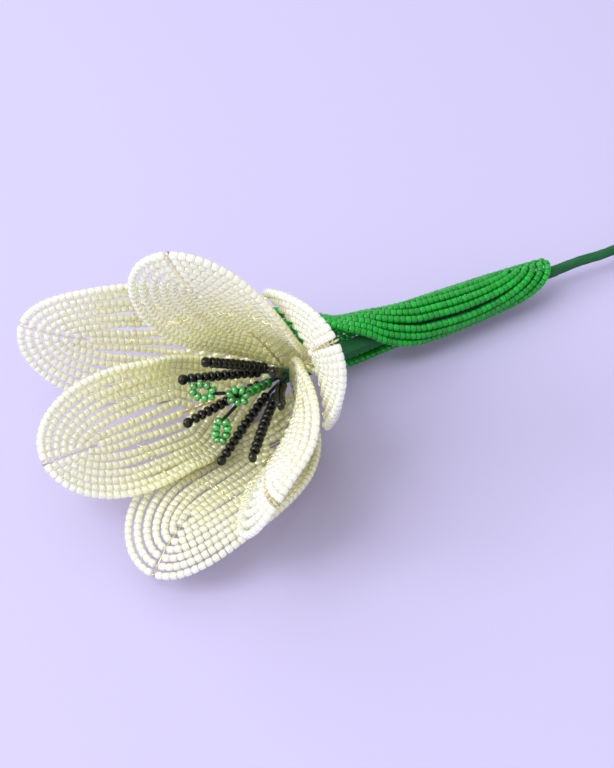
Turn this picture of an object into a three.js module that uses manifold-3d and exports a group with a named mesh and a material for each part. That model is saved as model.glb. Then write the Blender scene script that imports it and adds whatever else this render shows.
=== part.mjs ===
// A French-beaded tulip: glass seed beads strung on wire, bound to a taped stem.
// It lies on its side on the plane z = 0. Millimetres and degrees; +X runs from the bloom to the
// cut end of the stem and +Z is up. A row of beads is a long ridge on the petals and the leaf, and
// a string of bulges on the stamens and the pistil.
import * as THREE from 'three';
import { mergeVertices } from 'three/addons/utils/BufferGeometryUtils.js';
import Module from 'manifold-3d';

const wasm = await Module();
wasm.setup();

const { degToRad, lerp } = THREE.MathUtils;
const vec = (x, y, z) => new THREE.Vector3(x, y, z);

// ---------------------------------------------------------------- driving dimensions
const BEAD_RADIUS = 0.98;      // 11/0 seed bead
const WEB_RADIUS = 0.36;       // half thickness between two rows
const FIT_GAP = 0.3;           // between pieces that touch

const BLOOM_BASE = vec(0, 0, 9.4);
const BLOOM_PITCH = 23.6;      // how far the bloom looks up
const BLOOM_YAW = 16.8;        // how far it turns to the near side
const CENTRING = vec(-94.48, 10.172, 0);   // moves the middle of the bounding box to x = y = 0

const STEM = {
  end: vec(245, 0, 1.2),
  straightStart: vec(24, 1.5, 7.6),
  neckLength: 5,               // straight piece along the bloom's axis
  topRise: 0.6,                // of the tape's top over the bloom's base
  // share of the length from the bloom, radius
  radii: [[0, 1.8], [0.03, 2.1], [0.14, 2.2], [0.26, 1.75], [0.31, 1.85], [0.35, 1.6], [1, 1.4]],
  steps: 30, sides: 10,
};
const CORE = { radius: 0.7, proud: 0.8, top: 0.04, sides: 8 };

// A blade of concentric loops round a centre row; each loop starts and ends on the axis wire.
// first and last: where the centre row starts and ends; stepIn and stepOut: how much earlier and
// later each next loop does; waist: where the rows are straight and the blade is widest.
const PETAL = {
  loops: 7, rowPitch: 2.1, waist: 35,
  first: 23, stepIn: 3.0, last: 46.5, stepOut: 1.85,
  pointedBase: true, steps: 10,
  // lens-shaped openings where two rows stand apart: outside which rows, and where along the blade
  slots: { rows: [1, 3, 5], from: 27, to: 43.5, width: 0.9, steps: 4 },
};
const LEAF = {
  loops: 6, rowPitch: 1.95, waist: 30,
  first: 12, stepIn: 1.85, last: 64, stepOut: 3.0,
  pointedBase: false, steps: 15,
};

// The inner whorl is bound first, the outer one behind it.
const INNER = { radius: 2.0, setback: 0 };
const OUTER = { radius: 2.1, setback: 2.5 };

// Control values along a petal from its base to its tip, in degrees. azimuth: round the bloom's
// axis, 0 at the surface and 90 at the near side. opening: between the petal and the axis. cup:
// cross curvature in 1/mm at the base, the middle and the tip. roll: turn about the midrib at the
// base and the tip.
const PETALS = [
  {
    whorl: INNER, azimuth: [-42, -39, -36, -32, -26], opening: [53.3, 20.4, -2.6, 7.9, -11],
    cup: [0.048, 0.077, 0.029], roll: [-1.2, -1.2],
  },
  {
    whorl: INNER, azimuth: [112, 105, 99, 99, 115], opening: [49.9, 51.2, 15.9, 9.3, 69.1],
    cup: [0.049, 0.029, -0.065], roll: [12.2, -39.5],
  },
  {
    whorl: INNER, azimuth: [-182, -178, -178, -175, -170], opening: [38.7, 53.6, 19, 33.4, 52.7],
    cup: [0.054, 0.045, 0], roll: [30.5, 30.5],
  },
  {
    whorl: OUTER, azimuth: [-82, -84, -87, -91, -98], opening: [76.2, 49.7, 7.8, 17.2, 53.5],
    cup: [0.038, 0.015, 0.012], roll: [3, 3],
  },
  {
    whorl: OUTER, azimuth: [43, 41, 36, 30, 26], opening: [75.7, 33.7, -37.3, 15.6, 55.6],
    cup: [0.042, 0.017, -0.002], roll: [-16.2, -16.2],
  },
  {
    whorl: OUTER, azimuth: [143, 148, 143, 139, 140], opening: [106, 24, 0.6, 64.7, 67.9],
    cup: [0.037, 0.036, 0.019], roll: [-2.7, 6],
  },
];

// foot: where the wire stands on a ring round the axis, in degrees as a petal's azimuth.
// tip: [along the axis, towards the surface, towards the near side] from the bloom base.
const STAMEN = { beadRadius: 1.15, beadPitch: 1.3, ring: 1.6, lift: 1.25, knee: [6.5, 3.7], bareLength: 4 };
const STAMENS = [
  { foot: -134, tip: [23.2, -7.4, -4.4] },
  { foot: -96, tip: [23.5, 0.1, -8.6] },
  { foot: -45, tip: [22.9, 9.0, -4.4] },
  { foot: 7, tip: [20.2, 13.3, 5.2] },
  { foot: 57, tip: [20.5, 6.5, 12.7] },
  { foot: 105, tip: [17.6, -6.8, 13.1] },
  { foot: 152, tip: [17.5, -12.3, 8.6] },
];
const WIRE_RADIUS = 0.4;

const PISTIL = { beadRadius: 1.1, beadPitch: 1.5, root: 1.2, stalkStart: 4, stalkEnd: [12.5, 0.1, 1.0] };
// centre: as the stamen tips; facing: the way through the loop's hole; stretch: length over width.
const PISTIL_LOOP = { beadRadius: 0.9, beadPitch: 1.35 };
const PISTIL_LOOPS = [
  { centre: [16.4, -0.4, 1.3], facing: [1, -0.2, 1], radius: 1.5, stretch: 1.15 },
  { centre: [21.7, 0.0, -3.6], facing: [1, -0.3, 0.6], radius: 1.6, stretch: 1.25 },
  { centre: [20.9, 5.8, 3.4], facing: [1, -0.2, 0.8], radius: 1.4, stretch: 1.75 },
];

// Stations of the leaf's midrib. x: place beside the stem; far: distance behind the stem's middle;
// rise: height over it; inner: tilt of the inner face; wrap: radius that the blade is rolled to.
const LEAF_MIDRIB = [
  { x: 70, far: 3.1, rise: 0, inner: 0, wrap: 3.1 },
  { x: 60, far: 3.8, rise: 0, inner: 0, wrap: 3.8 },
  { x: 46, far: 4.4, rise: 0, inner: 0, wrap: 4.4 },
  { x: 30, far: 5.0, rise: 0, inner: 3, wrap: 5.0 },
  { x: 16, far: 7.4, rise: -0.4, inner: 12, wrap: 6.6 },
  { x: 5, far: 12.5, rise: -2.0, inner: 28, wrap: 10 },
  { x: -4, far: 17.5, rise: -3.2, inner: 38, wrap: 14 },
  { x: -11, far: 21.5, rise: -3.8, inner: 45, wrap: 18 },
];

// ---------------------------------------------------------------- shared geometry
/** Bloom axes: `along` the opening, `down` to the surface, `side` to the near side. */
function bloomAxes() {
  const pitch = degToRad(BLOOM_PITCH);
  const yaw = degToRad(BLOOM_YAW);
  const along = vec(-Math.cos(pitch) * Math.cos(yaw), -Math.cos(pitch) * Math.sin(yaw), Math.sin(pitch));
  const down = vec(0, 0, -1).addScaledVector(along, along.z).normalize();
  const side = vec(0, 0, 0).crossVectors(along, down);
  return { along, down, side };
}
const AXES = bloomAxes();

const inBloom = ([along, down, side]) => vec(0, 0, 0)
  .addScaledVector(AXES.along, along)
  .addScaledVector(AXES.down, down)
  .addScaledVector(AXES.side, side);
const bloomPoint = (offsets) => inBloom(offsets).add(BLOOM_BASE);

/** Value at t (0 to 1) of the smooth curve that five control values shape. */
function controlled(values, t) {
  const o = 1 - t;
  const weights = [o ** 4, 4 * t * o ** 3, 6 * t * t * o * o, 4 * t ** 3 * o, t ** 4];
  return values.reduce((sum, value, i) => sum + value * weights[i], 0);
}

/** Value at x between sorted [x, value] pairs. */
function between(pairs, x) {
  const i = Math.max(1, pairs.findIndex(([limit]) => limit >= x));
  const [x0, v0] = pairs[i - 1];
  const [x1, v1] = pairs[i];
  return lerp(v0, v1, Math.min(1, Math.max(0, (x - x0) / (x1 - x0))));
}

function meshFrom(positions, indices) {
  const geometry = new THREE.BufferGeometry();
  geometry.setAttribute('position', new THREE.Float32BufferAttribute(positions.flatMap((p) => p.toArray()), 3));
  geometry.setIndex(indices);
  return mergeVertices(geometry, 1e-4);
}

function toSolid(geometry) {
  const bare = geometry.clone();
  bare.deleteAttribute('normal');
  bare.deleteAttribute('uv');
  const merged = mergeVertices(bare, 1e-4);
  return new wasm.Manifold(new wasm.Mesh({
    numProp: 3,
    vertProperties: new Float32Array(merged.attributes.position.array),
    triVerts: new Uint32Array(merged.index.array),
  }));
}

function toGeometry(solid) {
  const { vertProperties, triVerts } = solid.getMesh();
  const geometry = new THREE.BufferGeometry();
  geometry.setAttribute('position', new THREE.BufferAttribute(vertProperties, 3));
  geometry.setIndex(new THREE.BufferAttribute(triVerts, 1));
  geometry.computeVertexNormals();
  return geometry;
}

/** Removes what reaches below the surface, so the piece rests on a flat spot. */
function restOnSurface(geometry) {
  const below = new THREE.BoxGeometry(1000, 1000, 20).translate(0, 0, -10);
  return toGeometry(toSolid(geometry).subtract(toSolid(below)));
}

/** A closed tube of any radius along a curve: radiusAt(t) for t from 0 to 1. */
function tube(curve, steps, sides, radiusAt, closed = false) {
  const frames = curve.computeFrenetFrames(steps, closed);
  const positions = [];
  const indices = [];
  const rings = closed ? steps : steps + 1;
  for (let i = 0; i < rings; i += 1) {
    const centre = curve.getPointAt(i / steps);
    for (let j = 0; j < sides; j += 1) {
      const angle = (2 * Math.PI * j) / sides;
      positions.push(centre.clone()
        .addScaledVector(frames.normals[i], Math.cos(angle) * radiusAt(i / steps))
        .addScaledVector(frames.binormals[i], Math.sin(angle) * radiusAt(i / steps)));
    }
  }
  for (let i = 0; i < steps; i += 1) {
    for (let j = 0; j < sides; j += 1) {
      const next = (j + 1) % sides;
      const a = i * sides;
      const b = ((i + 1) % rings) * sides;
      indices.push(a + j, a + next, b + j, a + next, b + next, b + j);
    }
  }
  if (!closed) {
    const last = steps * sides;
    for (let j = 1; j < sides - 1; j += 1) {
      indices.push(0, j + 1, j, last, last + j, last + j + 1);
    }
  }
  return meshFrom(positions, indices);
}

/** A string of beads along a curve, each bead two cones back to back. */
function beadString(curve, beadRadius, beadPitch, closed = false) {
  const beads = Math.round(curve.getLength() / beadPitch);
  const waist = beadRadius * 0.7;
  const radiusAt = (t) => (Math.round(t * beads * 2) % 2 ? beadRadius : waist);
  return tube(curve, beads * 2, 5, radiusAt, closed);
}

// ---------------------------------------------------------------- beaded blades
/**
 * Half width at which row `row` (0 at the centre) runs, `away` from the waist towards one end. At a
 * round end each row is a quarter ellipse; at a pointed one the rows there share the width evenly.
 */
function rowWidth({ loops, rowPitch }, row, away, { centre, step, pointed }) {
  if (!pointed) return row * rowPitch * Math.sqrt(Math.max(0, 1 - (away / (centre + row * step)) ** 2));
  const rows = loops + 0.5;
  const edge = rows * rowPitch * (1 - (away / (centre + rows * step)) ** 2);
  const ended = Math.max(0, (away - centre) / step);
  return ended >= rows ? 0 : (edge * Math.max(0, row - ended)) / (rows - ended);
}

/** How far from the axis wire row `row` runs at the place s along a blade. */
function rowOffset(blade, row, s) {
  const away = s - blade.waist;
  return away < 0
    ? rowWidth(blade, row, -away,
      { centre: blade.waist - blade.first, step: blade.stepIn, pointed: blade.pointedBase })
    : rowWidth(blade, row, away,
      { centre: blade.last - blade.waist, step: blade.stepOut, pointed: !blade.pointedBase });
}

/** Where row `row` (+ and - the loops) of a blade lies at share u of its length. */
function rowPoint(blade, row, u) {
  const loop = Math.abs(row);
  const s = lerp(blade.first - loop * blade.stepIn, blade.last + loop * blade.stepOut, u);
  return { s, y: u === 0 || u === 1 ? 0 : Math.sign(row) * rowOffset(blade, loop, s) };
}

/** Triangles of a closed slab whose two faces are grids of (steps + 1) by (columns + 1) points. */
function slabIndices(steps, columns) {
  const indices = [];
  const width = columns + 1;
  const back = (steps + 1) * width;
  for (let i = 0; i < steps; i += 1) {
    for (let j = 0; j < columns; j += 1) {
      const a = i * width + j;
      const b = a + width;
      indices.push(a, b, a + 1, a + 1, b, b + 1);
      indices.push(back + a, back + a + 1, back + b, back + a + 1, back + b + 1, back + b);
    }
    const left = i * width;
    const right = left + columns;
    indices.push(left, back + left, left + width, left + width, back + left, back + left + width);
    indices.push(right, right + width, back + right, right + width, back + right + width, back + right);
  }
  return indices;
}

/** Closed blade with a ridge for each row; place(s, y, lift) puts flat positions into space. */
function beadedBlade(blade, place) {
  const columns = 4 * blade.loops + 2;
  const positions = [];
  for (const face of [1, -1]) {
    for (let i = 0; i <= blade.steps; i += 1) {
      const u = (1 - Math.cos((Math.PI * i) / blade.steps)) / 2;
      for (let j = 0; j <= columns; j += 1) {
        const row = (j - columns / 2) / 2;
        const { s, y } = rowPoint(blade, row, u);
        const lift = Number.isInteger(row) ? BEAD_RADIUS : WEB_RADIUS;
        positions.push(place(s, y, face * lift));
      }
    }
  }
  return meshFrom(positions, slabIndices(blade.steps, columns));
}

/** A lens-shaped plug through a blade, between row `row` and the next one out. */
function slotPlug(blade, row, place) {
  const { from, to, width, steps } = blade.slots;
  const positions = [];
  for (const face of [1, -1]) {
    for (let i = 0; i <= steps; i += 1) {
      const s = lerp(from, to, i / steps);
      const middle = Math.sign(row) * rowOffset(blade, Math.abs(row) + 0.5, s);
      const half = (width / 2) * Math.sin((Math.PI * i) / steps);
      const lift = face * 1.5 * BEAD_RADIUS;
      positions.push(place(s, middle - half, lift), place(s, middle + half, lift));
    }
  }
  return meshFrom(positions, slabIndices(steps, 1));
}

/** Point of a blade rolled to curvature `cup` across a frame { at, across, inner }. */
function rolled(frame, cup, y, lift) {
  const k = Math.abs(cup) < 1e-4 ? 1e-4 : cup;
  const inner = frame.inner.clone().multiplyScalar(Math.cos(k * y))
    .addScaledVector(frame.across, -Math.sin(k * y));
  return frame.at.clone()
    .addScaledVector(frame.across, Math.sin(k * y) / k)
    .addScaledVector(frame.inner, (1 - Math.cos(k * y)) / k)
    .addScaledVector(inner, lift);
}

/** Frames along a petal's midrib, every half millimetre. */
function petalFrames(petal, length) {
  const step = 0.5;
  const frames = [];
  const outward = (angle) => inBloom([0, Math.cos(angle), Math.sin(angle)]);
  const around = (angle) => inBloom([0, -Math.sin(angle), Math.cos(angle)]);
  const start = degToRad(petal.azimuth[0]);
  const at = BLOOM_BASE.clone()
    .addScaledVector(outward(start), petal.whorl.radius)
    .addScaledVector(AXES.along, -petal.whorl.setback);
  for (let s = 0; s <= length + step; s += step) {
    const t = s / length;
    const opening = degToRad(controlled(petal.opening, t));
    const azimuth = degToRad(controlled(petal.azimuth, t));
    const roll = degToRad(lerp(...petal.roll, Math.min(1, t)));
    const ahead = AXES.along.clone().multiplyScalar(Math.cos(opening))
      .addScaledVector(outward(azimuth), Math.sin(opening));
    const flatAcross = around(azimuth);
    flatAcross.addScaledVector(ahead, -flatAcross.dot(ahead)).normalize();
    const flatInner = vec(0, 0, 0).crossVectors(ahead, flatAcross);
    frames.push({
      at: at.clone(),
      across: flatAcross.clone().multiplyScalar(Math.cos(roll)).addScaledVector(flatInner, Math.sin(roll)),
      inner: flatInner.clone().multiplyScalar(Math.cos(roll)).addScaledVector(flatAcross, -Math.sin(roll)),
    });
    at.addScaledVector(ahead, step);
  }
  return (s) => {
    const index = Math.min(frames.length - 2, Math.max(0, Math.floor(s / step)));
    const share = s / step - index;
    const [a, b] = [frames[index], frames[index + 1]];
    return {
      at: a.at.clone().lerp(b.at, share),
      across: a.across.clone().lerp(b.across, share).normalize(),
      inner: a.inner.clone().lerp(b.inner, share).normalize(),
    };
  };
}

function petalGeometry(petal) {
  const length = PETAL.last + PETAL.loops * PETAL.stepOut;
  const frameAt = petalFrames(petal, length);
  const cups = [[0, petal.cup[0]], [length / 2, petal.cup[1]], [length, petal.cup[2]]];
  const place = (s, y, lift) => rolled(frameAt(s), between(cups, s), y, lift);
  let solid = toSolid(beadedBlade(PETAL, place));
  for (const row of PETAL.slots.rows.flatMap((loop) => [loop, -loop])) {
    solid = solid.subtract(toSolid(slotPlug(PETAL, row, place)));
  }
  return restOnSurface(toGeometry(solid));
}

function leafGeometry() {
  const stemMiddle = (x) => {
    const { straightStart: start, end } = STEM;
    return start.clone().lerp(end, (x - start.x) / (end.x - start.x));
  };
  const stations = LEAF_MIDRIB.map(({ x, far, rise }) => stemMiddle(x).add(vec(0, far, rise)));
  const spine = new THREE.CatmullRomCurve3(stations);
  const length = LEAF.last + (LEAF.loops + 0.5) * LEAF.stepOut;
  const shareOf = (i) => i / (LEAF_MIDRIB.length - 1);
  const tilts = LEAF_MIDRIB.map(({ inner }, i) => [shareOf(i), inner]);
  const wraps = LEAF_MIDRIB.map(({ wrap }, i) => [shareOf(i), wrap]);
  const place = (s, y, lift) => {
    const t = spine.getUtoTmapping(Math.min(1, Math.max(0, s / length)));
    const ahead = spine.getTangent(t);
    const tilt = degToRad(between(tilts, t));
    const inner = vec(0, -Math.cos(tilt), Math.sin(tilt));
    inner.addScaledVector(ahead, -inner.dot(ahead)).normalize();
    const across = vec(0, 0, 0).crossVectors(inner, ahead);
    return rolled({ at: spine.getPoint(t), across, inner }, 1 / between(wraps, t), y, lift);
  };
  return restOnSurface(beadedBlade(LEAF, place));
}

// ---------------------------------------------------------------- stem
function stemCurve() {
  const top = BLOOM_BASE.clone().addScaledVector(AXES.along, STEM.topRise);
  const neck = top.clone().addScaledVector(AXES.along, -STEM.neckLength);
  const middle = STEM.straightStart.clone().lerp(STEM.end, 0.3);
  const late = STEM.straightStart.clone().lerp(STEM.end, 0.65);
  return new THREE.CatmullRomCurve3([top, neck, STEM.straightStart, middle, late, STEM.end]);
}

/** The stretch of a curve between two shares of its length; a share past 1 runs straight on. */
class Stretch extends THREE.Curve {
  constructor(curve, from, to) {
    super();
    this.whole = curve;
    this.from = from;
    this.to = to;
  }

  getPoint(t, target = vec(0, 0, 0)) {
    const share = lerp(this.from, this.to, t);
    const over = Math.max(0, share - 1) * this.whole.getLength();
    return target.copy(this.whole.getPointAt(Math.min(1, share)))
      .addScaledVector(this.whole.getTangentAt(Math.min(1, share)), over);
  }
}

function stemTapeGeometry(curve) {
  const outer = tube(curve, STEM.steps, STEM.sides, (t) => between(STEM.radii, t));
  const bore = tube(new Stretch(curve, CORE.top, 1.02), STEM.steps, CORE.sides, () => CORE.radius + FIT_GAP);
  return restOnSurface(toGeometry(toSolid(outer).subtract(toSolid(bore))));
}

function stemWireGeometry(curve) {
  const length = curve.getLength();
  const stretch = new Stretch(curve, CORE.top + FIT_GAP / length, 1 + CORE.proud / length);
  return tube(stretch, STEM.steps, CORE.sides, () => CORE.radius);
}

// ---------------------------------------------------------------- stamens and pistil
function stamenGeometry({ foot, tip }) {
  const angle = degToRad(foot);
  const ringPoint = (along, radius) => [along, radius * Math.cos(angle), radius * Math.sin(angle)];
  const bends = [ringPoint(STAMEN.lift, STAMEN.ring), ringPoint(...STAMEN.knee), tip];
  const curve = new THREE.QuadraticBezierCurve3(...bends.map(bloomPoint));
  const bare = STAMEN.bareLength / curve.getLength();
  const wire = tube(new Stretch(curve, 0, bare * 1.2), 3, 5, () => WIRE_RADIUS);
  const beads = beadString(new Stretch(curve, bare, 1), STAMEN.beadRadius, STAMEN.beadPitch);
  return toGeometry(toSolid(wire).add(toSolid(beads)));
}

/** The ring that a loop of beads follows, and the point of it nearest to the stalk. */
function pistilLoop({ centre, facing, radius, stretch }, junction) {
  const middle = bloomPoint(centre);
  const normal = inBloom(facing).normalize();
  const back = junction.clone().sub(middle);
  back.addScaledVector(normal, -back.dot(normal)).normalize();
  const aside = vec(0, 0, 0).crossVectors(normal, back);
  const corners = 12;
  const points = Array.from({ length: corners }, (_, i) => {
    const angle = (2 * Math.PI * i) / corners;
    return middle.clone()
      .addScaledVector(back, radius * stretch * Math.cos(angle))
      .addScaledVector(aside, radius * Math.sin(angle));
  });
  return { ring: new THREE.CatmullRomCurve3(points, true), nearest: points[0] };
}

function pistilGeometry() {
  const root = bloomPoint([PISTIL.root, 0, 0]);
  const junction = bloomPoint(PISTIL.stalkEnd);
  const stalk = new THREE.LineCurve3(root, junction);
  const beaded = new Stretch(stalk, PISTIL.stalkStart / stalk.getLength(), 1);
  let solid = toSolid(beadString(beaded, PISTIL.beadRadius, PISTIL.beadPitch))
    .add(toSolid(tube(new Stretch(stalk, 0, 0.5), 1, 5, () => WIRE_RADIUS)));
  for (const loop of PISTIL_LOOPS) {
    const { ring, nearest } = pistilLoop(loop, junction);
    const wire = new THREE.LineCurve3(junction, nearest);
    solid = solid
      .add(toSolid(beadString(ring, PISTIL_LOOP.beadRadius, PISTIL_LOOP.beadPitch, true)))
      .add(toSolid(tube(wire, 1, 5, () => WIRE_RADIUS)));
  }
  return toGeometry(solid);
}

// ---------------------------------------------------------------- assembly
const CREAM_PEARL = { color: 0xf3edd6, roughness: 0.3, metalness: 0.0 };
const BLACK_GLASS = { color: 0x0b0b0d, roughness: 0.15, metalness: 0.0 };
const GREEN_LUSTRE = { color: 0x1f8a43, roughness: 0.2, metalness: 0.1 };
const GREEN_GLASS = { color: 0x0e7a35, roughness: 0.2, metalness: 0.0 };
const FLORAL_TAPE = { color: 0x1d4a2c, roughness: 0.6, metalness: 0.0 };
const STEEL = { color: 0xb9bcc0, roughness: 0.35, metalness: 1.0 };

const tulip = new THREE.Group();
tulip.position.copy(CENTRING);

function addPiece(name, geometry, finish) {
  const mesh = new THREE.Mesh(geometry, new THREE.MeshStandardMaterial(finish));
  mesh.name = name;
  tulip.add(mesh);
}

const stem = stemCurve();
addPiece('stem_wire', stemWireGeometry(stem), STEEL);
addPiece('stem_tape', stemTapeGeometry(stem), FLORAL_TAPE);
PETALS.forEach((petal, i) => addPiece(`petal_${i + 1}`, petalGeometry(petal), CREAM_PEARL));
STAMENS.forEach((stamen, i) => addPiece(`stamen_${i + 1}`, stamenGeometry(stamen), BLACK_GLASS));
addPiece('pistil', pistilGeometry(), GREEN_LUSTRE);
addPiece('leaf_1', leafGeometry(), GREEN_GLASS);

export default tulip;
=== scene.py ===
"""A French-beaded tulip on its side: seed beads on wire, bound to a taped stem.

Shapes are worked out in millimetres from the bloom's base and stored in metres in the CAD frame.
"""
import math
import random

import bmesh
import bpy
from mathutils import Matrix, Quaternion, Vector, noise


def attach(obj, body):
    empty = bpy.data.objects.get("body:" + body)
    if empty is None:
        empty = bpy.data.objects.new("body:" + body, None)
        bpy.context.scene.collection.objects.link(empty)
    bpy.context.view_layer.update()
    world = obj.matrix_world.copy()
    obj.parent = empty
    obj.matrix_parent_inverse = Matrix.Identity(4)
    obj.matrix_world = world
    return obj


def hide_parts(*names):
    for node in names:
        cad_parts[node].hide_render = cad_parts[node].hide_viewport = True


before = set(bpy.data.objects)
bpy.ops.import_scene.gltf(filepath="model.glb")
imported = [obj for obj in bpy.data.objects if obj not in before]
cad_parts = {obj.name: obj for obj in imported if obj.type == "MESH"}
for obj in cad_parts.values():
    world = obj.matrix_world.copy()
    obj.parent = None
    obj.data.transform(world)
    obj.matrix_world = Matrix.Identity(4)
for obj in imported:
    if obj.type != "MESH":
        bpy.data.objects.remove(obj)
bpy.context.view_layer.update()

MM = 0.001
DICE = random.Random(11)

# ---------------------------------------------------------------- sizes, as in the CAD part
BLOOM_BASE = Vector((0, 0, 9.4))
BLOOM_PITCH = 23.6
BLOOM_YAW = 16.8
CENTRING = Vector((-94.48, 10.172, 0))

PETAL = dict(loops=7, row_pitch=2.1, waist=35, first=23, step_in=3.0, last=46.5, step_out=1.85,
             pointed_base=True, gaps_after=(1, 3, 5), gaps_from=27, gaps_to=43.5)
LEAF = dict(loops=6, row_pitch=1.95, waist=30, first=12, step_in=1.85, last=64, step_out=3.0,
            pointed_base=False, gaps_after=(3,), gaps_from=8, gaps_to=44)

INNER = dict(radius=2.0, setback=0)
OUTER = dict(radius=2.1, setback=2.5)
PETALS = [
    dict(whorl=INNER, azimuth=[-42, -39, -36, -32, -26], opening=[53.3, 20.4, -2.6, 7.9, -11],
         cup=[0.048, 0.077, 0.029], roll=[-1.2, -1.2]),
    dict(whorl=INNER, azimuth=[112, 105, 99, 99, 115], opening=[49.9, 51.2, 15.9, 9.3, 69.1],
         cup=[0.049, 0.029, -0.065], roll=[12.2, -39.5]),
    dict(whorl=INNER, azimuth=[-182, -178, -178, -175, -170], opening=[38.7, 53.6, 19, 33.4, 52.7],
         cup=[0.054, 0.045, 0], roll=[30.5, 30.5]),
    dict(whorl=OUTER, azimuth=[-82, -84, -87, -91, -98], opening=[76.2, 49.7, 7.8, 17.2, 53.5],
         cup=[0.038, 0.015, 0.012], roll=[3, 3]),
    dict(whorl=OUTER, azimuth=[43, 41, 36, 30, 26], opening=[75.7, 33.7, -37.3, 15.6, 55.6],
         cup=[0.042, 0.017, -0.002], roll=[-16.2, -16.2]),
    dict(whorl=OUTER, azimuth=[143, 148, 143, 139, 140], opening=[106, 24, 0.6, 64.7, 67.9],
         cup=[0.037, 0.036, 0.019], roll=[-2.7, 6]),
]

STAMEN = dict(bead_radius=1.15, bead_length=1.45, bead_pitch=1.5, ring=1.6, lift=1.25, knee=(6.5, 3.7),
              bare=4, beads_end=1.68, stop_bead=0.5, wire_end=1, wire=0.38)   # ends: short of the tip
STOP_BEAD_LEAN = Vector((0, 0.6, 1))
STAMENS = [
    (-134, (23.2, -7.4, -4.4)),
    (-96, (23.5, 0.1, -8.6)),
    (-45, (22.9, 9.0, -4.4)),
    (7, (20.2, 13.3, 5.2)),
    (57, (20.5, 6.5, 12.7)),
    (105, (17.6, -6.8, 13.1)),
    (152, (17.5, -12.3, 8.6)),
]
PISTIL = dict(bead_radius=1.1, bead_length=1.5, bead_pitch=1.5, root=1.2, stalk_start=4,
              stalk_end=(12.5, 0.1, 1.0), wire=0.38)
PISTIL_LOOP = dict(bead_radius=0.95, bead_length=1.25, bead_pitch=1.5, wire=0.2, steps=72)
PISTIL_LOOPS = [
    dict(centre=(16.2, -0.4, 1.3), facing=(1, -0.2, 1), radius=1.5, stretch=1.2, turn=0),
    dict(centre=(21.9, 0.0, -3.6), facing=(1, -0.3, 0.6), radius=1.5, stretch=1.5, turn=0),
    dict(centre=(20.9, 5.8, 3.4), facing=(1, -0.2, 0.8), radius=1.2, stretch=2.1, turn=35),
]

STEM_END = Vector((245, 0, 1.2))
STEM_STRAIGHT = Vector((24, 1.5, 7.6))
STEM_TOP_RISE, STEM_NECK = 0.6, 5
STEM_STATIONS = (0.3, 0.65)            # shares of the straight stretch

# (share of the stem, value): past the leaf the tape is thinner than its CAD solid, with a slight kink
TAPE_RADII = [(0, 1.8), (0.03, 2.1), (0.14, 2.0), (0.26, 1.5), (0.31, 1.25), (0.35, 1.2), (1, 1.15)]
TAPE_BENDS = [(0, 0), (0.3, 0), (0.325, -0.25), (0.345, 0.35), (0.4, 0), (1, 0)]
TAPE = dict(rings=700, sides=20, turn=9.0, sunk=0.12, lap=0.13, sway=0.15, sway_rate=0.12,
            ripple=0.05, ripple_rate=0.35)

# x, far, rise, inner tilt, wrap radius of the leaf's midrib beside the stem
LEAF_MIDRIB = [
    (70, 1.46, 2.74, -62, 3.1), (60, 1.78, 3.36, -62, 3.8), (46, 2.07, 3.88, -62, 4.4),
    (34, 2.99, 3.82, -52, 4.85), (24, 5.81, 1.85, -15, 5.6), (16, 7.4, -0.4, 12, 6.6),
    (5, 12.5, -2.0, 28, 10), (-4, 17.5, -3.2, 38, 14), (-11, 21.5, -3.8, 45, 18),
]

SEED_BEAD = dict(radius=0.86, length=1.5, pitch=1.52)
LEAF_BEAD = dict(radius=0.84, length=1.3, pitch=1.33)
EDGE_ROW = 0.5             # a blade's edge lies this share of a row outside the last one
AXIS_CLEARANCE = 0.22      # from the axis wire to the end of a row
SLOT_CLEARANCE = 2.3       # the same where a row stops short beside the bottom wire
SHORT_ROWS = {3: (2, 4, 6), 4: (-2, -4, -6), 1: (-3, 4), 2: (3, -4), 5: (-3, 4), 6: (-3, 4)}
ROW_TURN = 0.85            # below 1, rows turn across to meet the bottom wire
BEAD_CLASH = 1.3           # a bead is left out if its centre is nearer to one of another row,
BEND_CLASH = 0.93          # or, as a share of the pitch, to the last one of its own
GAP_SHIFT = 0.22           # how far a row moves from its neighbour at a gap
SHIFT_SPREAD = 0.08
ROW_STEPS, STEPS_A_LOOP = 60, 6
CURVE_STEPS = 400          # points along the leaf's midrib and along the stem
FRAME_STEP = 0.5           # between the frames along a petal

# how a row wanders in the blade's plane, and out of it
SWAY = dict(size=0.08, along=0.11, by_row=1.7)
HEAVE = dict(size=0.1, along=0.09, by_row=0.9)
HEAVE_GRAIN, GRAIN_STEP, LEAF_GRAIN = 7, 3.7, 31.0     # where each blade reads the noise

TIP_BEAD_SIZE, CUP_BEAD_GAIN = 0.93, 0.1
# painted shade: how far beads deep in the cup are tinted to the deep tone, and the random spread of tone
CUP_PAINTED_SHADE, TONE_SPREAD = 0.9, 0.2
CUP_DEPTH, CUP_FADE = 14, 38           # the painted warm shade of the cup is full up to here, then fades over this

BOTTOM_WIRE = dict(start=1.0, lay=2.2, twist=0.24, wire=0.2, lift=0.35, steps_a_turn=8)
TOP_WIRE = dict(stations=(45.5, 48.5, 50, 54), past_tip=0.2, lift=0.1, wire=0.13)
TOP_WIRE_FOLD = [(0.5, 0, -0.4), (0, 0.1, -0.95), (-3, 0.1, -1.0)]     # past the tip, across, lift
WRAP = dict(radius=0.42, lean=0.125, lift=0.1, wire=0.08, angles=(0.3, 1.0, 1.7, 2.4, 3.1))
LACING = dict(at=36, steps_a_row=4, sway=0.5, sway_rate=1.3, narrower=0.98, over=0.9, lift=0.1, wire=0.11)
WIRE_SIDES = 2             # Blender's bevel resolution


# ---------------------------------------------------------------- small geometry
def bloom_axes():
    pitch, yaw = math.radians(BLOOM_PITCH), math.radians(BLOOM_YAW)
    along = Vector((-math.cos(pitch) * math.cos(yaw), -math.cos(pitch) * math.sin(yaw), math.sin(pitch)))
    down = (Vector((0, 0, -1)) + along * along.z).normalized()
    return along, down, along.cross(down)


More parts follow.
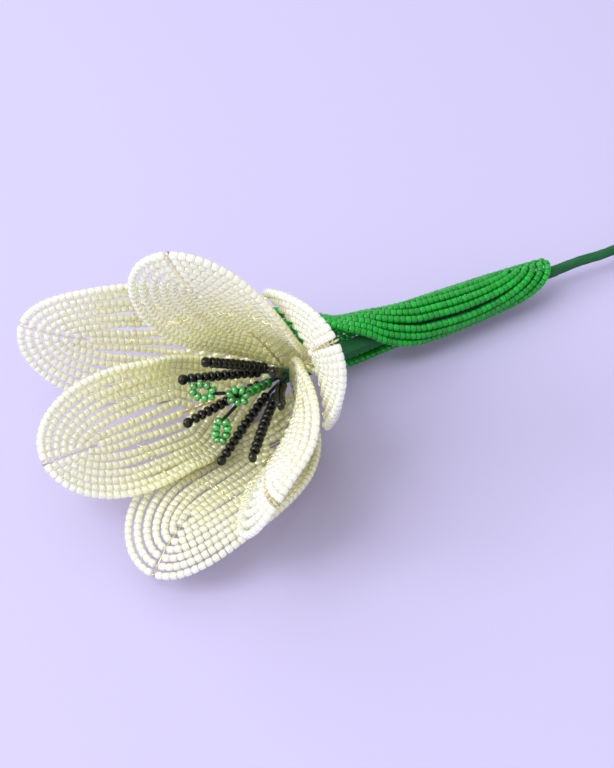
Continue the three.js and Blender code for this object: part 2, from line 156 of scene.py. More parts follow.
ALONG, DOWN, SIDE = bloom_axes()


def in_bloom(along, down, side):
    return ALONG * along + DOWN * down + SIDE * side


def lerp(a, b, t):
    return a + (b - a) * t


def between(pairs, x):
    """Value at x between sorted (x, value) pairs."""
    for (x0, v0), (x1, v1) in zip(pairs, pairs[1:]):
        if x <= x1:
            return lerp(v0, v1, min(1, max(0, (x - x0) / (x1 - x0))))
    return pairs[-1][1]


def controlled(values, t):
    """Value at t (0 to 1) of the smooth curve that five control values shape."""
    o = 1 - t
    weights = (o ** 4, 4 * t * o ** 3, 6 * t * t * o * o, 4 * t ** 3 * o, t ** 4)
    return sum(value * weight for value, weight in zip(values, weights))


def spline_point(points, t):
    """Point at t of a centripetal Catmull-Rom curve through the points, as the CAD part draws it."""
    count = len(points)
    place = (count - 1) * t
    i = min(int(place), count - 2)
    share = place - i
    p1, p2 = points[i], points[i + 1]
    p0 = points[i - 1] if i > 0 else p1 * 2 - p2
    p3 = points[i + 2] if i + 2 < count else p2 * 2 - p1
    d0, d1, d2 = (max(1e-4, (b - a).length ** 0.5) for a, b in ((p0, p1), (p1, p2), (p2, p3)))
    t1 = ((p1 - p0) / d0 - (p2 - p0) / (d0 + d1) + (p2 - p1) / d1) * d1
    t2 = ((p2 - p1) / d1 - (p3 - p1) / (d1 + d2) + (p3 - p2) / d2) * d1
    a = p1 * 2 - p2 * 2 + t1 + t2
    b = p2 * 3 - p1 * 3 - t1 * 2 - t2
    return ((a * share + b) * share + t1) * share + p1


class Line:
    """A path of points, read by distance."""

    def __init__(self, points):
        self.points = points
        self.reach = [0.0]
        for a, b in zip(points, points[1:]):
            self.reach.append(self.reach[-1] + (b - a).length)
        self.length = self.reach[-1]

    def at(self, distance):
        """Point and direction at a distance; past either end it runs straight on."""
        low, high = 0, len(self.points) - 2
        while low < high:
            middle = (low + high + 1) // 2
            if self.reach[middle] <= distance:
                low = middle
            else:
                high = middle - 1
        a, b = self.points[low], self.points[low + 1]
        step = self.reach[low + 1] - self.reach[low]
        ahead = (b - a) / max(step, 1e-9)
        return a + ahead * (distance - self.reach[low]), ahead


# ---------------------------------------------------------------- blades
def row_width(blade, row, away, centre, step, pointed):
    if not pointed:
        return row * blade["row_pitch"] * math.sqrt(max(0, 1 - (away / (centre + row * step)) ** 2))
    rows = blade["loops"] + EDGE_ROW
    edge = rows * blade["row_pitch"] * (1 - (away / (centre + rows * step)) ** 2)
    ended = max(0, (away - centre) / step)
    turn = lerp(1, ROW_TURN, min(1, away / centre))
    return 0 if ended >= rows else edge * (max(0, row - ended) / (rows - ended)) ** turn


def row_point(blade, row, u):
    """Where row `row` (0 at the centre, + and - the loops) of a blade lies at share u of its length."""
    loop = abs(row)
    s = lerp(blade["first"] - loop * blade["step_in"], blade["last"] + loop * blade["step_out"], u)
    if u in (0, 1):
        return s, 0
    away = s - blade["waist"]
    if away < 0:
        width = row_width(blade, loop, -away, blade["waist"] - blade["first"], blade["step_in"],
                          blade["pointed_base"])
    else:
        width = row_width(blade, loop, away, blade["last"] - blade["waist"], blade["step_out"],
                          not blade["pointed_base"])
    return s, math.copysign(width, row)


def rolled(at, across, inner, cup, y, lift):
    """Point of a blade rolled to curvature `cup` across a frame."""
    k = cup if abs(cup) > 1e-4 else 1e-4
    face = inner * math.cos(k * y) - across * math.sin(k * y)
    return at + across * (math.sin(k * y) / k) + inner * ((1 - math.cos(k * y)) / k) + face * lift


def petal_place(petal):
    """The function that puts a flat petal's (s, y, lift) into space."""
    length = PETAL["last"] + PETAL["loops"] * PETAL["step_out"]
    step = FRAME_STEP
    start = math.radians(petal["azimuth"][0])
    at = (BLOOM_BASE + in_bloom(0, math.cos(start), math.sin(start)) * petal["whorl"]["radius"]
          - ALONG * petal["whorl"]["setback"])
    frames, s = [], 0.0
    while s <= length + step:
        t = s / length
        opening = math.radians(controlled(petal["opening"], t))
        azimuth = math.radians(controlled(petal["azimuth"], t))
        roll = math.radians(lerp(*petal["roll"], min(1, t)))
        outward = in_bloom(0, math.cos(azimuth), math.sin(azimuth))
        ahead = ALONG * math.cos(opening) + outward * math.sin(opening)
        across = in_bloom(0, -math.sin(azimuth), math.cos(azimuth))
        across = (across - ahead * across.dot(ahead)).normalized()
        inner = ahead.cross(across)
        frames.append((at.copy(), across * math.cos(roll) + inner * math.sin(roll),
                       inner * math.cos(roll) - across * math.sin(roll)))
        at = at + ahead * step
        s += step
    cups = [(0, petal["cup"][0]), (length / 2, petal["cup"][1]), (length, petal["cup"][2])]

    def place(s, y, lift=0.0):
        index = min(len(frames) - 2, max(0, int(s // step)))
        share = s / step - index
        (a0, b0, c0), (a1, b1, c1) = frames[index], frames[index + 1]
        across, inner = b0.lerp(b1, share).normalized(), c0.lerp(c1, share).normalized()
        return rolled(a0.lerp(a1, share), across, inner, between(cups, s), y, lift)

    return place


def leaf_place():
    """The function that puts the flat leaf's (s, y, lift) into space."""
    points = []
    for x, far, rise, _, _ in LEAF_MIDRIB:
        middle = STEM_STRAIGHT.lerp(STEM_END, (x - STEM_STRAIGHT.x) / (STEM_END.x - STEM_STRAIGHT.x))
        points.append(middle + Vector((0, far, rise)))
    steps = CURVE_STEPS
    spine = Line([spline_point(points, i / steps) for i in range(steps + 1)])
    length = LEAF["last"] + (LEAF["loops"] + EDGE_ROW) * LEAF["step_out"]
    last = len(LEAF_MIDRIB) - 1
    tilts = [(i / last, station[3]) for i, station in enumerate(LEAF_MIDRIB)]
    wraps = [(i / last, station[4]) for i, station in enumerate(LEAF_MIDRIB)]

    def place(s, y, lift=0.0):
        distance = min(1, max(0, s / length)) * spine.length
        at, ahead = spine.at(distance)
        low = max(i for i, reach in enumerate(spine.reach) if reach <= distance + 1e-9)
        low = min(low, steps - 1)
        gap = max(spine.reach[low + 1] - spine.reach[low], 1e-9)
        t = (low + (distance - spine.reach[low]) / gap) / steps
        tilt = math.radians(between(tilts, t))
        inner = Vector((0, -math.cos(tilt), math.sin(tilt)))
        inner = (inner - ahead * inner.dot(ahead)).normalized()
        return rolled(at, inner.cross(ahead), inner, 1 / between(wraps, t), y, lift)

    return place


# ---------------------------------------------------------------- beads
BEAD_OUTLINE = [(-0.5, 0.74), (-0.44, 0.91), (-0.2, 1), (0.2, 1), (0.44, 0.91), (0.5, 0.74)]
ROUND_OUTLINE = [(-0.5, 0.45), (-0.4, 0.82), (-0.17, 1), (0.17, 1), (0.4, 0.82), (0.5, 0.45)]


RANK_STEP = 10000          # more than the corners of any bead's face add up to


def face_rank(face):
    """A number of its own for each face of a bead."""
    corners = [vert.index for vert in face.verts]
    return min(corners) * RANK_STEP + sum(corners)


def new_bead(bm, radius, length, around, outline):
    """A closed bead with its hole along X, at the origin."""
    verts = [bm.verts.new((x * length, 0, r * radius)) for x, r in outline]
    edges = [bm.edges.new(pair) for pair in zip(verts, verts[1:])]
    bmesh.ops.spin(bm, geom=verts + edges, cent=(0, 0, 0), axis=(1, 0, 0), angle=2 * math.pi,
                   steps=around, use_merge=True)
    rims = [edge for edge in bm.edges if edge.is_boundary]
    bmesh.ops.holes_fill(bm, edges=rims, sides=around)
    bmesh.ops.recalc_face_normals(bm, faces=bm.faces)
    bm.verts.index_update()
    bm.faces.sort(key=face_rank)       # spin lists the faces in another order each time it runs


class Beads:
    """A mesh of many copies of one bead, each with a tone of its own.

    Where a depth in the cup is given, beads are finer at the tips, and their tone is painted shade: paler at
    the tips, a warm shade deeper in the cup.
    """

    def __init__(self, name, radius, length, around=9, outline=BEAD_OUTLINE, depth_for_size_and_shade=None):
        self.name = name
        self.bead = bpy.data.meshes.new(name + "_bead")
        first = bmesh.new()
        first.verts.layers.float.new("tone")
        new_bead(first, radius, length, around, outline)
        first.to_mesh(self.bead)
        first.free()
        self.strung = bmesh.new()
        self.centres = []
        self.depth_for_size_and_shade = depth_for_size_and_shade

    def add(self, places, tilt=2.0, spread=0.02):
        """Beads at the (centre, direction) places."""
        bm = bmesh.new()
        bm.from_mesh(self.bead)
        tone_layer = bm.verts.layers.float["tone"]
        first = bm.verts[:] + bm.edges[:] + bm.faces[:]
        for centre, ahead in places:
            side = ahead.orthogonal().normalized()
            turn = Matrix.Rotation(DICE.uniform(0, 2 * math.pi), 4, ahead)
            lean = Matrix.Rotation(math.radians(DICE.uniform(-tilt, tilt)), 4, side)
            basis = Matrix((ahead, side, ahead.cross(side))).transposed().to_4x4()
            finer = TIP_BEAD_SIZE + CUP_BEAD_GAIN * self.depth_for_size_and_shade(centre) if self.depth_for_size_and_shade else 1
            sizes = [finer * (1 + DICE.uniform(-spread, spread)) for _ in range(3)]
            shape = Matrix.Translation(centre) @ lean @ turn @ basis @ Matrix.Diagonal(sizes + [1])
            copy = bmesh.ops.duplicate(bm, geom=first)["geom"]
            verts = [part for part in copy if isinstance(part, bmesh.types.BMVert)]
            bmesh.ops.transform(bm, matrix=shape, verts=verts)
            below = min(vert.co.z for vert in verts)
            if below < 0:
                bmesh.ops.translate(bm, vec=(0, 0, -below), verts=verts)
            tone = DICE.random()
            # painted shade: beads deeper in the cup get the warmer, darker tone, plus a random spread
            if self.depth_for_size_and_shade:
                tone = CUP_PAINTED_SHADE * self.depth_for_size_and_shade(centre) + TONE_SPREAD * (tone - 0.5)
            for vert in verts:
                vert[tone_layer] = tone
            self.centres.append(centre)
        spare = [part for part in first if isinstance(part, bmesh.types.BMVert)]
        bmesh.ops.delete(bm, geom=spare, context="VERTS")
        row = bpy.data.meshes.new("row")
        bm.to_mesh(row)
        bm.free()
        self.strung.from_mesh(row)
        bpy.data.meshes.remove(row)

    def string(self, line, pitch, clash=0.0, **wobble):
        """Beads from end to end of a line. With a clash distance, those too near to others are left out."""
        count = max(1, math.floor(line.length / pitch + 0.1))
        places = []
        for i in range(count):
            centre, ahead = line.at((i + 0.5) * line.length / count)
            if clash and any((centre - other).length < clash for other in self.centres):
                continue
            if clash and places and (centre - places[-1][0]).length < BEND_CLASH * pitch:
                continue
            places.append((centre, ahead))
        self.add(places, **wobble)
        return [centre for centre, _ in places]

    def finish(self, material):
        bpy.data.meshes.remove(self.bead)
        return settle(self.strung, self.name, material)


def laid_out(name, mesh, material):
    """A piece on the flower's one body, in one material."""
    mesh.materials.append(material)
    piece = bpy.data.objects.new(name, mesh)
    bpy.context.scene.collection.objects.link(piece)
    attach(piece, "root")
    return piece


def settle(bm, name, material):
    """Makes the finished piece from a mesh in millimetres."""
    bmesh.ops.translate(bm, vec=CENTRING, verts=bm.verts)
    bmesh.ops.scale(bm, vec=(MM, MM, MM), verts=bm.verts)
    mesh = bpy.data.meshes.new(name)
    for face in bm.faces:
        face.smooth = True
    bm.to_mesh(mesh)
    bm.free()
    return laid_out(name, mesh, material)


# ---------------------------------------------------------------- wires
def wires(name, paths, material):
    """Round wires along paths of points: (points, radius) each."""
    curve = bpy.data.curves.new(name, "CURVE")
    curve.dimensions = "3D"
    curve.bevel_depth = MM
    curve.bevel_resolution = WIRE_SIDES
    curve.use_fill_caps = True
    for points, radius in paths:
        spline = curve.splines.new("POLY")
        spline.points.add(len(points) - 1)
        for point, place in zip(spline.points, points):
            point.co = (*((Vector((place.x, place.y, max(place.z, radius))) + CENTRING) * MM), 1)
            point.radius = radius
    holder = bpy.data.objects.new(name + "_path", curve)
    bpy.context.scene.collection.objects.link(holder)
    bpy.context.view_layer.update()
    shown = holder.evaluated_get(bpy.context.evaluated_depsgraph_get())
    mesh = bpy.data.meshes.new_from_object(shown)
    bpy.data.objects.remove(holder)
    mesh.name = name
    mesh.materials.clear()
    mesh.shade_smooth()
    return laid_out(name, mesh, material)


# ---------------------------------------------------------------- materials
def group_socket(group, name, kind, way, default=None):
    socket = group.interface.new_socket(name=name, in_out=way, socket_type=kind)
    if default is not None:
        socket.default_value = default
    return socket


def bead_finish_group():
    """Colour of a bead between two tones by its tone attribute, which on the cream beads also carries
    painted shade in the cup, a fine mottle, and a slight waviness of the glass.
    """
    group = bpy.data.node_groups.new("Bead finish", "ShaderNodeTree")
    group_socket(group, "Light tone", "NodeSocketColor", "INPUT")
    group_socket(group, "Deep tone", "NodeSocketColor", "INPUT")
    group_socket(group, "Mottle", "NodeSocketFloat", "INPUT", 0.25)
    group_socket(group, "Smoothest", "NodeSocketFloat", "INPUT", 0.1)
    group_socket(group, "Roughest", "NodeSocketFloat", "INPUT", 0.3)
    group_socket(group, "Wave", "NodeSocketFloat", "INPUT", 0.1)
    group_socket(group, "Color", "NodeSocketColor", "OUTPUT")
    group_socket(group, "Roughness", "NodeSocketFloat", "OUTPUT")
    group_socket(group, "Normal", "NodeSocketVector", "OUTPUT")
    nodes, links = group.nodes, group.links
    given, given_out = nodes.new("NodeGroupInput"), nodes.new("NodeGroupOutput")
    place = nodes.new("ShaderNodeTexCoord")
    tone = nodes.new("ShaderNodeAttribute")
    tone.attribute_name = "tone"
    grain = nodes.new("ShaderNodeTexNoise")
    grain.inputs["Scale"].default_value = 900
    grain.inputs["Detail"].default_value = 2
    links.new(place.outputs["Object"], grain.inputs["Vector"])
    blotch = nodes.new("ShaderNodeMath")
    blotch.operation = "MULTIPLY_ADD"
    links.new(grain.outputs["Fac"], blotch.inputs[0])
    links.new(given.outputs["Mottle"], blotch.inputs[1])
    links.new(tone.outputs["Fac"], blotch.inputs[2])
    colour = nodes.new("ShaderNodeMix")
    colour.data_type = "RGBA"
    links.new(blotch.outputs[0], colour.inputs["Factor"])
    links.new(given.outputs["Light tone"], colour.inputs["A"])
    links.new(given.outputs["Deep tone"], colour.inputs["B"])
    rough = nodes.new("ShaderNodeMapRange")
    links.new(grain.outputs["Fac"], rough.inputs["Value"])
    links.new(given.outputs["Smoothest"], rough.inputs["To Min"])
    links.new(given.outputs["Roughest"], rough.inputs["To Max"])
    wave = nodes.new("ShaderNodeBump")
    wave.inputs["Distance"].default_value = 0.00008
    links.new(given.outputs["Wave"], wave.inputs["Strength"])
    links.new(grain.outputs["Fac"], wave.inputs["Height"])
    links.new(colour.outputs["Result"], given_out.inputs["Color"])
    links.new(rough.outputs["Result"], given_out.inputs["Roughness"])
    links.new(wave.outputs["Normal"], given_out.inputs["Normal"])
    return group


BEAD_FINISH = bead_finish_group()


def new_material(name):
    material = bpy.data.materials.new(name)
    material.use_nodes = True
    nodes = material.node_tree.nodes
    return material, nodes, material.node_tree.links, nodes["Principled BSDF"]


def bead_material(name, light, deep, smoothest, roughest, mottle=0.25, wave=0.1, **fixed):
    material, nodes, links, shader = new_material(name)
    finish = nodes.new("ShaderNodeGroup")
    finish.node_tree = BEAD_FINISH
    for socket, value in (("Light tone", (*light, 1)), ("Deep tone", (*deep, 1)), ("Mottle", mottle),
                          ("Smoothest", smoothest), ("Roughest", roughest), ("Wave", wave)):
        finish.inputs[socket].default_value = value
    links.new(finish.outputs["Color"], shader.inputs["Base Color"])
    links.new(finish.outputs["Roughness"], shader.inputs["Roughness"])
    links.new(finish.outputs["Normal"], shader.inputs["Normal"])
    for socket, value in fixed.items():
        shader.inputs[socket.replace("_", " ")].default_value = value
    return material


# the pale tone shows at the tips and the deep tone is painted warm shade inside the cup
CREAM_PEARL = bead_material(
    "Cream pearl glass", (0.96, 0.94, 0.62), (1.0, 0.93, 0.33), smoothest=0.2, roughest=0.36, mottle=0.15,
    Specular_IOR_Level=0.7, Coat_Weight=1.0, Coat_IOR=2.6, Coat_Roughness=0.1,
    Subsurface_Weight=1.0, Subsurface_Scale=0.006, Subsurface_Radius=(1, 0.95, 0.7))
BLACK_GLASS = bead_material(
    "Black glass", (0.001, 0.001, 0.002), (0.003, 0.003, 0.004), smoothest=0.1, roughest=0.22,
    Specular_IOR_Level=0.1, Coat_Weight=0.75, Coat_Roughness=0.03)
GREEN_LUSTRE = bead_material(
    "Green lustre glass", (0.002, 0.40, 0.05), (0.001, 0.22, 0.02), smoothest=0.1, roughest=0.2,
    Specular_IOR_Level=0.3, Coat_Weight=1.0, Coat_IOR=2.2, Coat_Roughness=0.1)
DARK_GREEN_GLASS = bead_material(
    "Dark green stalk glass", (0.002, 0.28, 0.02), (0.001, 0.12, 0.01), smoothest=0.1, roughest=0.22,
    Specular_IOR_Level=0.2, Coat_Weight=0.8, Coat_IOR=1.6, Coat_Roughness=0.06)
LEAF_GREEN = bead_material(
    "Leaf green glass", (0.001, 0.36, 0.030), (0.001, 0.24, 0.018), smoothest=0.16, roughest=0.3,
    Specular_IOR_Level=0.08, Coat_Weight=0.7, Coat_Roughness=0.08)


def wire_material(name, light, dull, roughness=0.3):
    material, nodes, links, shader = new_material(name)
    place, grain = nodes.new("ShaderNodeTexCoord"), nodes.new("ShaderNodeTexNoise")
    grain.inputs["Scale"].default_value = 400
    links.new(place.outputs["Object"], grain.inputs["Vector"])
    colour = nodes.new("ShaderNodeMix")
    colour.data_type = "RGBA"
    colour.inputs["A"].default_value = (*light, 1)
    colour.inputs["B"].default_value = (*dull, 1)
    links.new(grain.outputs["Fac"], colour.inputs["Factor"])
    links.new(colour.outputs["Result"], shader.inputs["Base Color"])
    shader.inputs["Metallic"].default_value = 1.0
    shader.inputs["Roughness"].default_value = roughness
    return material


GOLD_WIRE = wire_material("Gold wire", (0.95, 0.83, 0.50), (0.78, 0.62, 0.30), 0.28)
LACING_WIRE = wire_material("Pale gold lacing wire", (1.0, 0.90, 0.62), (0.90, 0.76, 0.42), 0.25)
BRASS_WIRE = wire_material("Pale brass wire", (0.86, 0.80, 0.58), (0.58, 0.52, 0.34), 0.3)
DARK_WIRE = wire_material("Dark wire", (0.05, 0.07, 0.09), (0.02, 0.03, 0.03), 0.35)
STEEL_WIRE = wire_material("Steel wire", (0.62, 0.63, 0.65), (0.45, 0.45, 0.46), 0.3)


def tape_material():
    material, nodes, links, shader = new_material("Green floral tape")
    place, fibre = nodes.new("ShaderNodeTexCoord"), nodes.new("ShaderNodeTexNoise")
    mapping = nodes.new("ShaderNodeMapping")
    mapping.inputs["Scale"].default_value = (250, 1400, 1400)
    links.new(place.outputs["Object"], mapping.inputs["Vector"])
    links.new(mapping.outputs["Vector"], fibre.inputs["Vector"])
    fibre.inputs["Scale"].default_value = 1
    fibre.inputs["Detail"].default_value = 4
    colour = nodes.new("ShaderNodeMix")
    colour.data_type = "RGBA"
    colour.inputs["A"].default_value = (0.006, 0.055, 0.016, 1)
    colour.inputs["B"].default_value = (0.016, 0.14, 0.05, 1)
    links.new(fibre.outputs["Fac"], colour.inputs["Factor"])
    links.new(colour.outputs["Result"], shader.inputs["Base Color"])
    bump = nodes.new("ShaderNodeBump")
    bump.inputs["Distance"].default_value = 0.00012
    bump.inputs["Strength"].default_value = 0.6
    links.new(fibre.outputs["Fac"], bump.inputs["Height"])
    links.new(bump.outputs["Normal"], shader.inputs["Normal"])
    shader.inputs["Roughness"].default_value = 0.55
    shader.inputs["Specular IOR Level"].default_value = 0.2
    return material


FLORAL_TAPE = tape_material()


# ---------------------------------------------------------------- petals
def row_shifts(blade):
    """How far each row is pushed aside mid-blade, so that some rows touch and others stand apart."""
    shifts = {0: 0.0}
    for way in (1, -1):
        for row in range(1, blade["loops"] + 1):
            towards = (row - 1 in blade["gaps_after"]) - (row in blade["gaps_after"])
            shifts[way * row] = way * (GAP_SHIFT * towards + DICE.uniform(-SHIFT_SPREAD, SHIFT_SPREAD))
    return shifts


def wander(wave, s, row, grain):
    return wave["size"] * noise.noise(Vector((s * wave["along"], row * wave["by_row"], grain)))


def row_line(blade, place, row, shifts, grain, short):
    """The path of a row between the axis wire's two sides, or None where it is too short."""
    steps = ROW_STEPS + STEPS_A_LOOP * abs(row)
    points = []
    for i in range(steps + 1):
        u = (1 - math.cos(math.pi * i / steps)) / 2
        s, y = row_point(blade, row, u)
        if row and abs(y) < (SLOT_CLEARANCE if short and u < 0.5 else AXIS_CLEARANCE):
            continue
        inside = min(1, max(0, (s - blade["gaps_from"]) / (blade["gaps_to"] - blade["gaps_from"])))
        y += shifts[row] * math.sin(math.pi * inside)
        y += wander(SWAY, s, row, grain)
        points.append(place(s, y, wander(HEAVE, s, row, grain + HEAVE_GRAIN)))
    return Line(points)


def beaded_blade(name, blade, place, bead, material, grain, short_rows=(), depth_for_size_and_shade=None):
    beads = Beads(name, bead["radius"], bead["length"], depth_for_size_and_shade=depth_for_size_and_shade)
    shifts = row_shifts(blade)
    ends = []
    for loop in range(blade["loops"], -1, -1):
        for row in ((loop, -loop) if loop else (0,)):
            line = row_line(blade, place, row, shifts, grain, row in short_rows)
            kept = beads.string(line, bead["pitch"], clash=BEAD_CLASH)
            if kept:
                ends.append((row, kept[0], kept[-1]))
    return beads.finish(material), ends


def bottom_wires(place):
    """Two wires twisted round each other along a petal's axis, as far as its first bead."""
    strands = [[], []]
    start, lay, radius = BOTTOM_WIRE["start"], BOTTOM_WIRE["lay"], BOTTOM_WIRE["twist"]
    steps = int((PETAL["first"] - start) / lay * BOTTOM_WIRE["steps_a_turn"])
    for i in range(steps + 1):
        s = lerp(start, PETAL["first"], i / steps)
        angle = 2 * math.pi * (s - start) / lay
        for strand, phase in zip(strands, (0, math.pi)):
            lift = BOTTOM_WIRE["lift"] + radius * math.sin(angle + phase)
            strand.append(place(s, radius * math.cos(angle + phase), lift))
    return [(strand, BOTTOM_WIRE["wire"]) for strand in strands]


def top_wire(place):
    """The wire up a petal's axis to its tip, folded over behind."""
    tip = PETAL["last"] + PETAL["loops"] * PETAL["step_out"]
    points = [place(s, 0, TOP_WIRE["lift"]) for s in (*TOP_WIRE["stations"], tip + TOP_WIRE["past_tip"])]
    return points + [place(tip + past, across, lift) for past, across, lift in TOP_WIRE_FOLD]


def wrap(place, s, way, bead):
    """A row's wire from its last bead round the axis wire."""
    radius = WRAP["radius"]
    return [bead] + [place(s + WRAP["lean"] * math.sin(a), way * radius * math.cos(a),
                           WRAP["lift"] + radius * math.sin(a)) for a in WRAP["angles"]]


def petal_wires(name, place, ends):
    paths = bottom_wires(place)
    for row, first, last in ends:
        if not row:
            continue
        way = math.copysign(1, row)
        for s, bead in ((PETAL["first"] - abs(row) * PETAL["step_in"], first),
                        (PETAL["last"] + abs(row) * PETAL["step_out"], last)):
            paths.append((wrap(place, s, way, bead), WRAP["wire"]))
    wires(f"{name}_wires", paths, GOLD_WIRE)
    wires(f"{name}_top_wire", [(top_wire(place), TOP_WIRE["wire"])], BRASS_WIRE)


def lacing(name, place):
    """The fine wire sewn across the rows to hold them side by side."""
    fine = LACING["steps_a_row"]
    points = []
    for i in range(-fine * PETAL["loops"] - fine // 2, fine * PETAL["loops"] + fine // 2 + 1):
        row = i / fine
        points.append(place(LACING["at"] + LACING["sway"] * math.sin(row * LACING["sway_rate"]),
                            row * PETAL["row_pitch"] * LACING["narrower"],
                            LACING["over"] * abs(math.cos(math.pi * row)) + LACING["lift"]))
    wires(name, [(points, LACING["wire"])], LACING_WIRE)


def depth_in_cup(centre):
    """1 at the bloom's base, 0 near the petals' tips; it sets the bead size and the painted warm shade of
    the cup.
    """
    return min(1, max(0, 1 - ((centre - BLOOM_BASE).length - CUP_DEPTH) / CUP_FADE))


for number, petal in enumerate(PETALS, 1):
    place = petal_place(petal)
    # depth_in_cup sets bead size and the painted warm shade of the cup
    beads, ends = beaded_blade(f"petal_{number}_beads", PETAL, place, SEED_BEAD, CREAM_PEARL,
                               number * GRAIN_STEP, SHORT_ROWS[number], depth_in_cup)
    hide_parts(f"petal_{number}")
    petal_wires(f"petal_{number}", place, ends)
    lacing(f"petal_{number}_lacing", place)


# ---------------------------------------------------------------- leaf
leaf_beads, _ = beaded_blade("leaf_1_beads", LEAF, leaf_place(), LEAF_BEAD, LEAF_GREEN, LEAF_GRAIN)
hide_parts("leaf_1")


# ---------------------------------------------------------------- stamens and pistil
def bezier(points, steps=40):
    a, b, c = points
    shares = [i / steps for i in range(steps + 1)]
    return [a * (1 - t) ** 2 + b * (2 * t * (1 - t)) + c * t * t for t in shares]


def cut(line, start, end, steps=30):
    """The stretch of a line between two distances."""
    return Line([line.at(lerp(start, end, i / steps))[0] for i in range(steps + 1)])


for number, (foot, tip) in enumerate(STAMENS, 1):
    angle = math.radians(foot)
    ring = [(STAMEN["lift"], STAMEN["ring"]), STAMEN["knee"]]
    bends = [in_bloom(along, radius * math.cos(angle), radius * math.sin(angle)) for along, radius in ring]
    line = Line(bezier([BLOOM_BASE + bend for bend in (*bends, in_bloom(*tip))]))
    string = Beads(f"stamen_{number}_beads", STAMEN["bead_radius"], STAMEN["bead_length"], 10, ROUND_OUTLINE)
    beaded = cut(line, STAMEN["bare"], line.length - STAMEN["beads_end"])
    string.string(beaded, STAMEN["bead_pitch"], tilt=6, spread=0.05)
    end, ahead = line.at(line.length - STAMEN["stop_bead"])
    string.add([(end, ahead.cross(STOP_BEAD_LEAN).normalized())])
    beads = string.finish(BLACK_GLASS)
    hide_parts(f"stamen_{number}")
    bare = cut(line, 0, line.length - STAMEN["wire_end"]).points
    wires(f"stamen_{number}_wire", [(bare, STAMEN["wire"])], DARK_WIRE)


def pistil_loop(loop, junction):
    middle = BLOOM_BASE + in_bloom(*loop["centre"])
    normal = in_bloom(*loop["facing"]).normalized()
    back = junction - middle
    back = (back - normal * back.dot(normal)).normalized()
    back.rotate(Quaternion(normal, math.radians(loop["turn"])))
    aside = normal.cross(back)
    radius, steps = loop["radius"], PISTIL_LOOP["steps"]
    return [middle + back * (radius * loop["stretch"] * math.cos(2 * math.pi * i / steps))
            + aside * (radius * math.sin(2 * math.pi * i / steps)) for i in range(steps + 1)]


root = BLOOM_BASE + ALONG * PISTIL["root"]
junction = BLOOM_BASE + in_bloom(*PISTIL["stalk_end"])
stalk = Beads("pistil_stalk_beads", PISTIL["bead_radius"], PISTIL["bead_length"], 10, ROUND_OUTLINE)
way = (junction - root).normalized()
stalk.string(Line([root + way * PISTIL["stalk_start"], junction]), PISTIL["bead_pitch"])
stalk.finish(DARK_GREEN_GLASS)
loops = Beads("pistil_loop_beads", PISTIL_LOOP["bead_radius"], PISTIL_LOOP["bead_length"], 10,
              ROUND_OUTLINE)
pistil_wires = [([root, junction], PISTIL["wire"])]
for loop in PISTIL_LOOPS:
    ring = pistil_loop(loop, junction)
    loops.string(Line(ring), PISTIL_LOOP["bead_pitch"])
    pistil_wires += [([junction, ring[0]], PISTIL["wire"]), (ring, PISTIL_LOOP["wire"])]
loop_beads = loops.finish(GREEN_LUSTRE)
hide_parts("pistil")
wires("pistil_wire", pistil_wires, DARK_WIRE)


# ---------------------------------------------------------------- stem
def stem_line():
    top = BLOOM_BASE + ALONG * STEM_TOP_RISE
    points = [top, top - ALONG * STEM_NECK, STEM_STRAIGHT]
    points += [STEM_STRAIGHT.lerp(STEM_END, share) for share in STEM_STATIONS] + [STEM_END]
    return Line([spline_point(points, i / CURVE_STEPS) for i in range(CURVE_STEPS + 1)])


def stem_tape():
    """The taped stem: a tube whose surface steps up at each turn of the wrapped tape."""
    line = stem_line()
    bm = bmesh.new()
    bmesh.ops.create_grid(bm, x_segments=TAPE["rings"], y_segments=TAPE["sides"], size=1)
    for vert in bm.verts:
        share, angle = (vert.co.x + 1) / 2, (vert.co.y + 1) * math.pi
        distance = share * line.length
        centre, ahead = line.at(distance)
        side = ahead.cross(Vector((0, 0, 1))).normalized()
        up = side.cross(ahead)
        sway = TAPE["sway"] * noise.noise(Vector((distance * TAPE["sway_rate"], 3, 8)))
        centre = centre + side * (between(TAPE_BENDS, share) + sway)
        lap = (distance / TAPE["turn"] + angle / (2 * math.pi)) % 1
        radius = between(TAPE_RADII, share) - TAPE["sunk"] + TAPE["lap"] * lap
        ripple = Vector((distance * TAPE["ripple_rate"], math.cos(angle), math.sin(angle)))
        radius += TAPE["ripple"] * noise.noise(ripple)
        vert.co = centre + side * (radius * math.cos(angle)) + up * (radius * math.sin(angle))
        vert.co.z = max(vert.co.z, 0)
    bmesh.ops.remove_doubles(bm, verts=bm.verts, dist=1e-3)
    rims = [edge for edge in bm.edges if edge.is_boundary]
    bmesh.ops.holes_fill(bm, edges=rims, sides=TAPE["sides"])
    bmesh.ops.recalc_face_normals(bm, faces=bm.faces)
    return settle(bm, "stem_tape_wrap", FLORAL_TAPE)


tape = stem_tape()
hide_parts("stem_tape")
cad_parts["stem_wire"].data.materials.clear()
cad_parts["stem_wire"].data.materials.append(STEEL_WIRE)


# ---------------------------------------------------------------- camera, floor and light
CAMERA_TURN, CAMERA_DIP = 27.4, 51.4      # degrees: round the flower, and down
CAMERA_DISTANCE = 300                     # millimetres to the bloom's base
FOCAL_PIXELS, FRAME_WIDTH, FRAME_HEIGHT = 1380, 614, 768
BASE_PIXEL = (285, 375)
SENSOR_HEIGHT = 24
FLOOR = dict(reach=3, drop=0.0001, colour=(0.48, 0.44, 0.69, 1), roughness=0.85, specular=0.2)

# metres from the flower's middle: to the right, away from the camera and up; then size, watts, colour
LIGHT_MIDDLE = Vector((-0.11, 0, 0.02))
LIGHTS = [
    ("window", (-0.5, 0.25, 0.9), 1.2, 3.5, (1, 1, 0.98)),
    ("lamp", (-0.4, -0.3, 0.9), 0.42, 4, (1, 1, 0.99)),
    ("side", (-0.95, -0.3, 0.7), 0.4, 5.5, (1, 1, 0.98)),
]
SURROUND = dict(colour=(0.98, 1, 0.97, 1), strength=0.84)


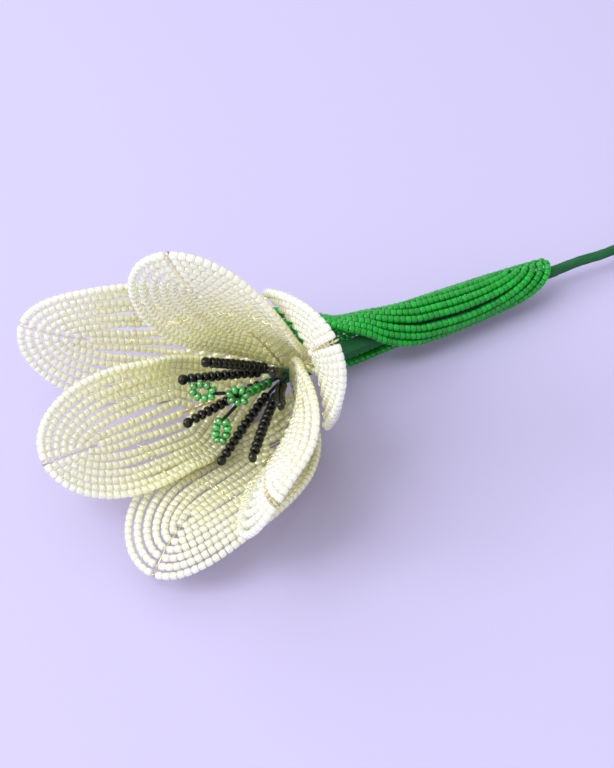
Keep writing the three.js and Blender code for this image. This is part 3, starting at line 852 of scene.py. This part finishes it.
def set_camera():
    turn, dip = math.radians(CAMERA_TURN), math.radians(CAMERA_DIP)
    ahead = Vector((math.sin(turn) * math.cos(dip), math.cos(turn) * math.cos(dip), -math.sin(dip)))
    right = Vector((math.cos(turn), -math.sin(turn), 0))
    up = right.cross(ahead)
    aside = (BASE_PIXEL[0] - FRAME_WIDTH / 2) / FOCAL_PIXELS
    above = -(BASE_PIXEL[1] - FRAME_HEIGHT / 2) / FOCAL_PIXELS
    eye = (BLOOM_BASE + CENTRING - (ahead + right * aside + up * above) * CAMERA_DISTANCE) * MM
    data = bpy.data.cameras.new("camera")
    data.sensor_fit = "VERTICAL"
    data.sensor_height = SENSOR_HEIGHT
    data.lens = SENSOR_HEIGHT * FOCAL_PIXELS / FRAME_HEIGHT
    data.clip_start, data.clip_end = 0.01, 20
    camera = bpy.data.objects.new("camera", data)
    camera.matrix_world = Matrix.Translation(eye) @ Matrix((right, up, -ahead)).transposed().to_4x4()
    bpy.context.scene.collection.objects.link(camera)
    bpy.context.scene.camera = camera
    return ahead, right


def floor():
    bm = bmesh.new()
    bmesh.ops.create_grid(bm, x_segments=2, y_segments=2, size=FLOOR["reach"])
    mesh = bpy.data.meshes.new("floor")
    bm.to_mesh(mesh)
    bm.free()
    material, _, _, shader = new_material("Pale lavender paper")
    shader.inputs["Base Color"].default_value = FLOOR["colour"]
    shader.inputs["Roughness"].default_value = FLOOR["roughness"]
    shader.inputs["Specular IOR Level"].default_value = FLOOR["specular"]
    mesh.materials.append(material)
    plane = bpy.data.objects.new("floor", mesh)
    plane.location.z = -FLOOR["drop"]
    bpy.context.scene.collection.objects.link(plane)


def area_light(name, place, size, power, colour):
    data = bpy.data.lights.new(name, "AREA")
    data.size, data.energy, data.color = size, power, colour
    light = bpy.data.objects.new(name, data)
    light.location = place
    light.rotation_euler = (LIGHT_MIDDLE - place).to_track_quat("-Z", "Y").to_euler()
    bpy.context.scene.collection.objects.link(light)


def studio_light(ahead, right):
    """Soft daylight from up on the left, a lamp for the glints, a side light and a pale surround."""
    level = Vector((ahead.x, ahead.y, 0)).normalized()
    for name, (aside, away, up), size, power, colour in LIGHTS:
        place = LIGHT_MIDDLE + right * aside + level * away + Vector((0, 0, up))
        area_light(name, place, size, power, colour)
    world = bpy.data.worlds.new("Pale surround")
    world.use_nodes = True
    background = world.node_tree.nodes["Background"]
    background.inputs["Color"].default_value = SURROUND["colour"]
    background.inputs["Strength"].default_value = SURROUND["strength"]
    bpy.context.scene.world = world


bpy.context.scene.view_settings.view_transform = "Standard"
studio_light(*set_camera())
floor()
